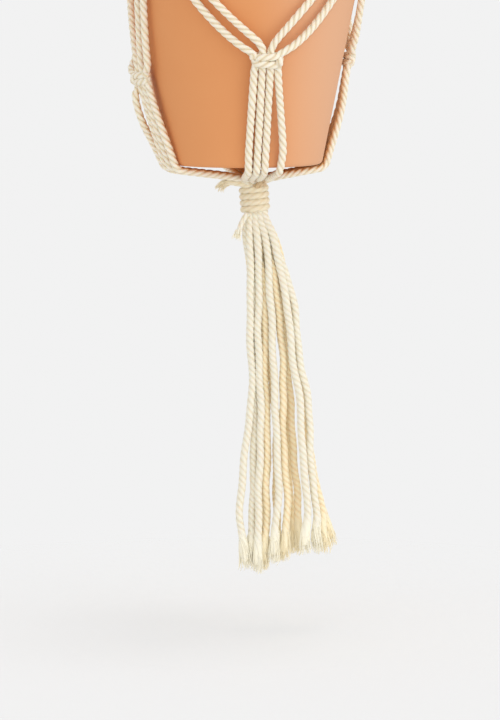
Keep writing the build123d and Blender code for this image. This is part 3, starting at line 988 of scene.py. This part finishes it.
# The pot and the ring keep the frame's own shape
def dress(node, material):
    """Gives a solid of the frame its finish."""
    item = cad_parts[node]
    item.data.materials.clear()
    item.data.materials.append(material)
    item.data.polygons.foreach_set("use_smooth", [True] * len(item.data.polygons))


dress("pot", terracotta())
dress("hanging_ring", ring_wood())

# The hanger, the folds and the bundle between them. The legs' meshes are left on no body.
LOOPS = ("ring_fold_cords", "top_gather")
hanger_cords()
fold_cords()
top_gather_cords()
for node, gathered in pieces.items():
    item = gathered.make(f"{node}_rope", cord_cotton)
    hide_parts(node)
    if node.endswith("_leg_cords"):
        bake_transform(item)
    else:
        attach(item, "loops" if node in LOOPS else "hanger")

# The two whippings
top_winding = helix(TOP_WRAP_R, TOP_WRAP_TURNS, TOP_Z - TOP_WRAP_DROP, 0.0, 0.0)
whipping("top_wrap", "loops", top_winding, TOP_WRAP_LOOK_D, WRAP_SEED)
bottom_top = BASE_Z + BOTTOM_WRAP_TOP
bottom_winding = helix(BOTTOM_WRAP_R, BOTTOM_WRAP_TURNS, bottom_top, GATHER_X, BOTTOM_WRAP_LEAN)
whipping("bottom_wrap", "hanger", bottom_winding, BOTTOM_WRAP_LOOK_D, WRAP_SEED + 1)

# The cut ends of the lower binding cord, as points from the pot's axis and base
UPPER_TAIL = [(3, -6, -13), (-3, -7.6, -11.4), (-9, -8.4, -10.6), (-13.5, -8.6, -11.4), (-16.5, -8.6, -16)]
LOWER_TAIL = [(1.5, -7.5, -29.5), (-1.2, -8.6, -33), (-3.6, -9.2, -39), (-5.6, -9.4, -45.5)]
STUB = [(5.4, -5.6, -14.6), (7.6, -8.0, -12.8), (9.9, -8.6, -11.2), (12.2, -8.0, -9.8)]
item = tail("upper_wrap_tail_rope", UPPER_TAIL, binding_cotton, 0, diameter=3.8, loose=10.0)
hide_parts("upper_wrap_tail")
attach(item, "hanger")
item = tail("wrap_stub_rope", STUB, stub_cotton, 1, diameter=3.8, loose=3.0)
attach(item, "hanger")
item = tail("lower_wrap_tail_rope", LOWER_TAIL, tassel_cotton, 2, diameter=3.3, loose=7.0)
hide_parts("lower_wrap_tail")
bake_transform(item)

# The tassel: the heights at which its strands are placed, and how far back each row lies there
STRAND_LEVELS = (-44.0, -66.0, -92.0, -118.0, -143.0, -179.0, -208.0, -226.0)
ROW_DEPTHS = (
    (-6.5, -8.2, -9.2, -10.0, -10.6, -11.2, -11.8, -12.0, -12.0),
    (-3.4, -5.3, -5.9, -6.8, -7.5, -8.2, -8.7, -8.8, -8.8),
    (2.2, 0.6, 0.0, -0.5, -0.8, -1.2, -1.4, -1.4, -1.2),
    (6.5, 7.3, 7.6, 7.8, 8.0, 8.1, 8.1, 8.1, 8.1),
)
# Each strand: its row, how high its tip is, and how far right it lies at each level and at its tip
STRANDS = (
    (0, -246, (-0.4, 3.2, 3.3, 3.6, 4.3, -0.6, -4.2, -1.2, 0.6)),
    (0, -248, (4.7, 8.2, 8.0, 8.6, 9.0, 9.6, 7.8, 7.8, 7.2)),
    (0, -242, (9.8, 14.6, 16.4, 16.2, 18.6, 19.8, 19.8, 18.0, 17.4)),
    (0, -236, (14.9, 21.4, 26.6, 28.8, 33.0, 35.4, 37.8, 36.0, 37.8)),
    (1, -245, (-2.8, 5.0, 5.2, 5.6, 5.4, 6.0, 4.2, 3.6, 3.6)),
    (1, -246, (2.3, 11.6, 11.8, 12.0, 12.8, 13.2, 13.2, 12.0, 10.8)),
    (1, -241, (7.4, 18.2, 20.8, 22.8, 22.8, 24.0, 25.8, 24.0, 23.4)),
    (1, -236, (12.5, 25.0, 30.8, 33.0, 38.4, 39.6, 43.2, 42.6, 45.0)),
    (2, -244, (-0.4, 7.5, 7.2, 9.0, 9.3, 9.6, 8.1, 7.8, 8.4)),
    (2, -242, (4.7, 12.9, 13.8, 15.0, 18.0, 19.2, 19.5, 18.6, 19.2)),
    (2, -238, (9.8, 18.4, 21.6, 25.2, 27.0, 30.0, 31.8, 32.4, 32.4)),
    (2, -237, (14.9, 23.7, 27.6, 31.8, 37.8, 39.6, 46.8, 46.8, 48.6)),
    (3, -243, (-2.8, 3.6, 3.6, 4.5, 5.4, 6.0, 5.1, 4.8, 5.4)),
    (3, -240, (2.3, 9.9, 10.8, 11.4, 12.9, 13.2, 12.6, 11.7, 12.6)),
    (3, -239, (7.4, 16.8, 21.6, 25.2, 25.2, 26.4, 28.2, 27.6, 27.6)),
    (3, -234, (12.5, 22.8, 27.6, 31.5, 37.2, 39.0, 46.2, 50.4, 53.4)),
)
ROOT_MIDDLE = 6.05
# Under the whipping: how far right the strands' middle is, how far apart and deep they lie, and how high
ROOT_STEPS = ((6.4, 0.5, 0.5, -28.0), (6.8, 0.64, 0.7, -34.0), (9.0, 1.0, 1.0, STRAND_LEVELS[0]))
# Strands that get the cotton in painted shade, besides the back rows
PAINTED_SHADE_STRANDS = (5, 6)
BACK_ROWS = (2, 3)
# The waves of a strand: how wide along each axis, how long with their share of that, and where they begin
WAVE_WIDTHS = ((0, 0.42), (1, 0.3))
WAVE_SHARES = ((80.0, 1.0), (34.0, 0.7))
WAVE_SPREAD = (0.75, 1.1)
WAVE_START = 12.0
WAVE_GROWTH = 40.0


def wander(line, seed):
    """The line of a loose strand with the slight waves that it keeps from its coil."""
    chance = random.Random(seed)
    line, along = even(line, RING_STEP)
    grown = np.clip((along - WAVE_START) / WAVE_GROWTH, 0.0, 1.0)
    moved = np.zeros_like(line)
    for axis, width in WAVE_WIDTHS:
        for length, share in WAVE_SHARES:
            wave = 2 * math.pi / (length * chance.uniform(*WAVE_SPREAD))
            moved[:, axis] += width * share * np.sin(wave * along + chance.uniform(0.0, ANY_ANGLE)) * grown
    return line + moved


def strand_points(row, tip, sides):
    """Control points of a strand, from inside the whipping to its tip."""
    depths = ROW_DEPTHS[row]
    apart = sides[0] - ROOT_MIDDLE
    points = [
        at_base(middle + spread * apart, deep * depths[0], height)
        for middle, spread, deep, height in ROOT_STEPS
    ]
    levels = (*STRAND_LEVELS[1:], tip)
    points += [at_base(x, y, level) for x, y, level in zip(sides[1:], depths[1:], levels)]
    return points


def strand(number, row, tip, sides):
    """One free hanging strand with its frayed tip."""
    line = wander(route(strand_points(row, tip, sides)), WANDER_SEED + number)
    whole, along = even(line, RING_STEP)
    look = {"lay": STRAND_LAY, "groove": SOFT_GROOVE, "loose": FRAY_LENGTH}
    gathered = Piece()
    gathered.rope(without_tip(whole, FRAY_LENGTH), STRAND_LOOK_D, STRAND_SEED + number, **look)
    fray(gathered, whole, STRAND_LOOK_D, FRAY_LENGTH, STRAND_FRAY_SEED + number, **STRAND_FRAY)
    # Strands deep in the bundle get the cotton in painted shade
    in_painted_shade = row in BACK_ROWS or number in PAINTED_SHADE_STRANDS
    name = f"tassel_strand_{number + 1:02d}"
    item = gathered.make(f"{name}_rope", painted_shade_cotton if in_painted_shade else tassel_cotton)
    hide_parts(name)
    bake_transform(item)


for number, (row, tip, sides) in enumerate(STRANDS):
    strand(number, row, tip, sides)

# The heart of the tassel under the whipping, where the strands still lie packed
CORE_PLACES = ((4.2, -2.5), (8.6, -2.2), (4.4, 2.4), (8.4, 2.6), (6.4, 0.0))
CORE_TOP = -30.0
CORE_FOOT = -54.0
CORE_LEAN = 5.0
CORE_SPREAD = 1.6
CORE_POINTS = 12
core = Piece()
for number, (x, y) in enumerate(CORE_PLACES):
    top = at_base(x, y, CORE_TOP)
    foot = at_base(x + CORE_LEAN, y * CORE_SPREAD, CORE_FOOT)
    core.rope(np.linspace(top, foot, CORE_POINTS), CORD_D, CORE_SEED + number)
# The packed core gets the cotton in painted shade
item = core.make("tassel_neck_rope", painted_shade_cotton)
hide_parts("tassel_neck")
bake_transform(item)

# Stage and light: the room, and a floor whose half width and fade are in metres
ROOM_LIGHT = 0.83
ROOM_TONE = (0.887, 0.887, 0.887, 1.0)
FLOOR_TONE = (0.93, 0.93, 0.93, 1.0)
FLOOR_DROP = 284.0
FLOOR_HALF = 1.6
FLOOR_FADE = (0.12, 0.42)
# Each lamp: where its light comes from, its strength and its width in degrees
LAMPS = {
    "overhead": ((0.13, 0.05, 1.0), 0.17, 18.0),
    "key": ((1.0, -0.6, 0.3), 0.7, 60.0),
    "fill": ((-0.05, -1.0, 0.12), 0.5, 10.0),
}


def turned_to(direction):
    """The turn that points a lamp or a camera along a direction."""
    return direction.to_track_quat("-Z", "Y").to_euler()


def room():
    """A pale room: one light on the object, and one tone behind it that reflections show too."""
    world = bpy.data.worlds.new("studio")
    bpy.context.scene.world = world
    world.use_nodes = True
    tree = world.node_tree
    lit = tree.nodes["Background"]
    feed(tree, lit, {"Color": (1.0, 1.0, 1.0, 1.0), "Strength": ROOM_LIGHT})
    seen = add(tree, "Background", {"Color": ROOM_TONE, "Strength": 1.0})
    rays = add(tree, "LightPath").outputs
    shiny = calculated(tree, "Math", "MAXIMUM", rays["Is Glossy Ray"], rays["Is Transmission Ray"])
    direct = calculated(tree, "Math", "MAXIMUM", rays["Is Camera Ray"], shiny.outputs[0])
    mix = add(tree, "MixShader", {0: direct.outputs[0], 1: lit.outputs[0], 2: seen.outputs[0]})
    feed(tree, tree.nodes["World Output"], {"Surface": mix.outputs[0]})


def lamps():
    """A soft overhead light, a broad key from the right and a fill from the front."""
    for name, (source, strength, width) in LAMPS.items():
        lamp = bpy.data.lights.new(name, "SUN")
        lamp.energy = strength
        lamp.angle = math.radians(width)
        holder = bpy.data.objects.new(name, lamp)
        holder.rotation_euler = turned_to(-Vector(source))
        bpy.context.scene.collection.objects.link(holder)


def floor_finish():
    """A matte white that fades out away from the object, so that only the shadow shows."""
    material, tree, surface = new_material("floor")
    look = {"Base Color": FLOOR_TONE, "Roughness": 1.0, "Specular IOR Level": 0.0}
    feed(tree, surface, look)
    place = add(tree, "TexCoord").outputs["Object"]
    level = add(tree, "Mapping", {"Vector": place, "Scale": (1.0, 1.0, 0.0)}).outputs["Vector"]
    away = add(tree, "VectorMath", {0: level}, operation="LENGTH").outputs["Value"]
    fade = ranged(tree, away, *FLOOR_FADE)
    clear = add(tree, "BsdfTransparent")
    mix = add(tree, "MixShader", {0: fade, 1: surface.outputs[0], 2: clear.outputs[0]})
    feed(tree, tree.nodes["Material Output"], {"Surface": mix.outputs[0]})
    return material


def floor():
    """A level floor well below the tassel."""
    mesh = bpy.data.meshes.new("floor")
    level = (BASE_Z - FLOOR_DROP) * MM
    corners = ((-1, -1), (1, -1), (1, 1), (-1, 1))
    mesh.from_pydata([(x * FLOOR_HALF, y * FLOOR_HALF, level) for x, y in corners], [], [(0, 1, 2, 3)])
    mesh.materials.append(floor_finish())
    item = bpy.data.objects.new("floor", mesh)
    bpy.context.scene.collection.objects.link(item)


room()
lamps()
floor()

# The camera, in metres
EYE = Vector((0.003, -2.2, (BASE_Z + 131.0) * MM))
TARGET = Vector((0.003, 0.0, (BASE_Z - 118.8) * MM))
camera = bpy.data.cameras.new("camera")
camera.sensor_width = 36.0
camera.lens = 183.0
eye = bpy.data.objects.new("camera", camera)
eye.location = EYE
eye.rotation_euler = turned_to(TARGET - EYE)
bpy.context.scene.collection.objects.link(eye)
bpy.context.scene.camera = eye
bpy.context.scene.view_settings.view_transform = "Standard"
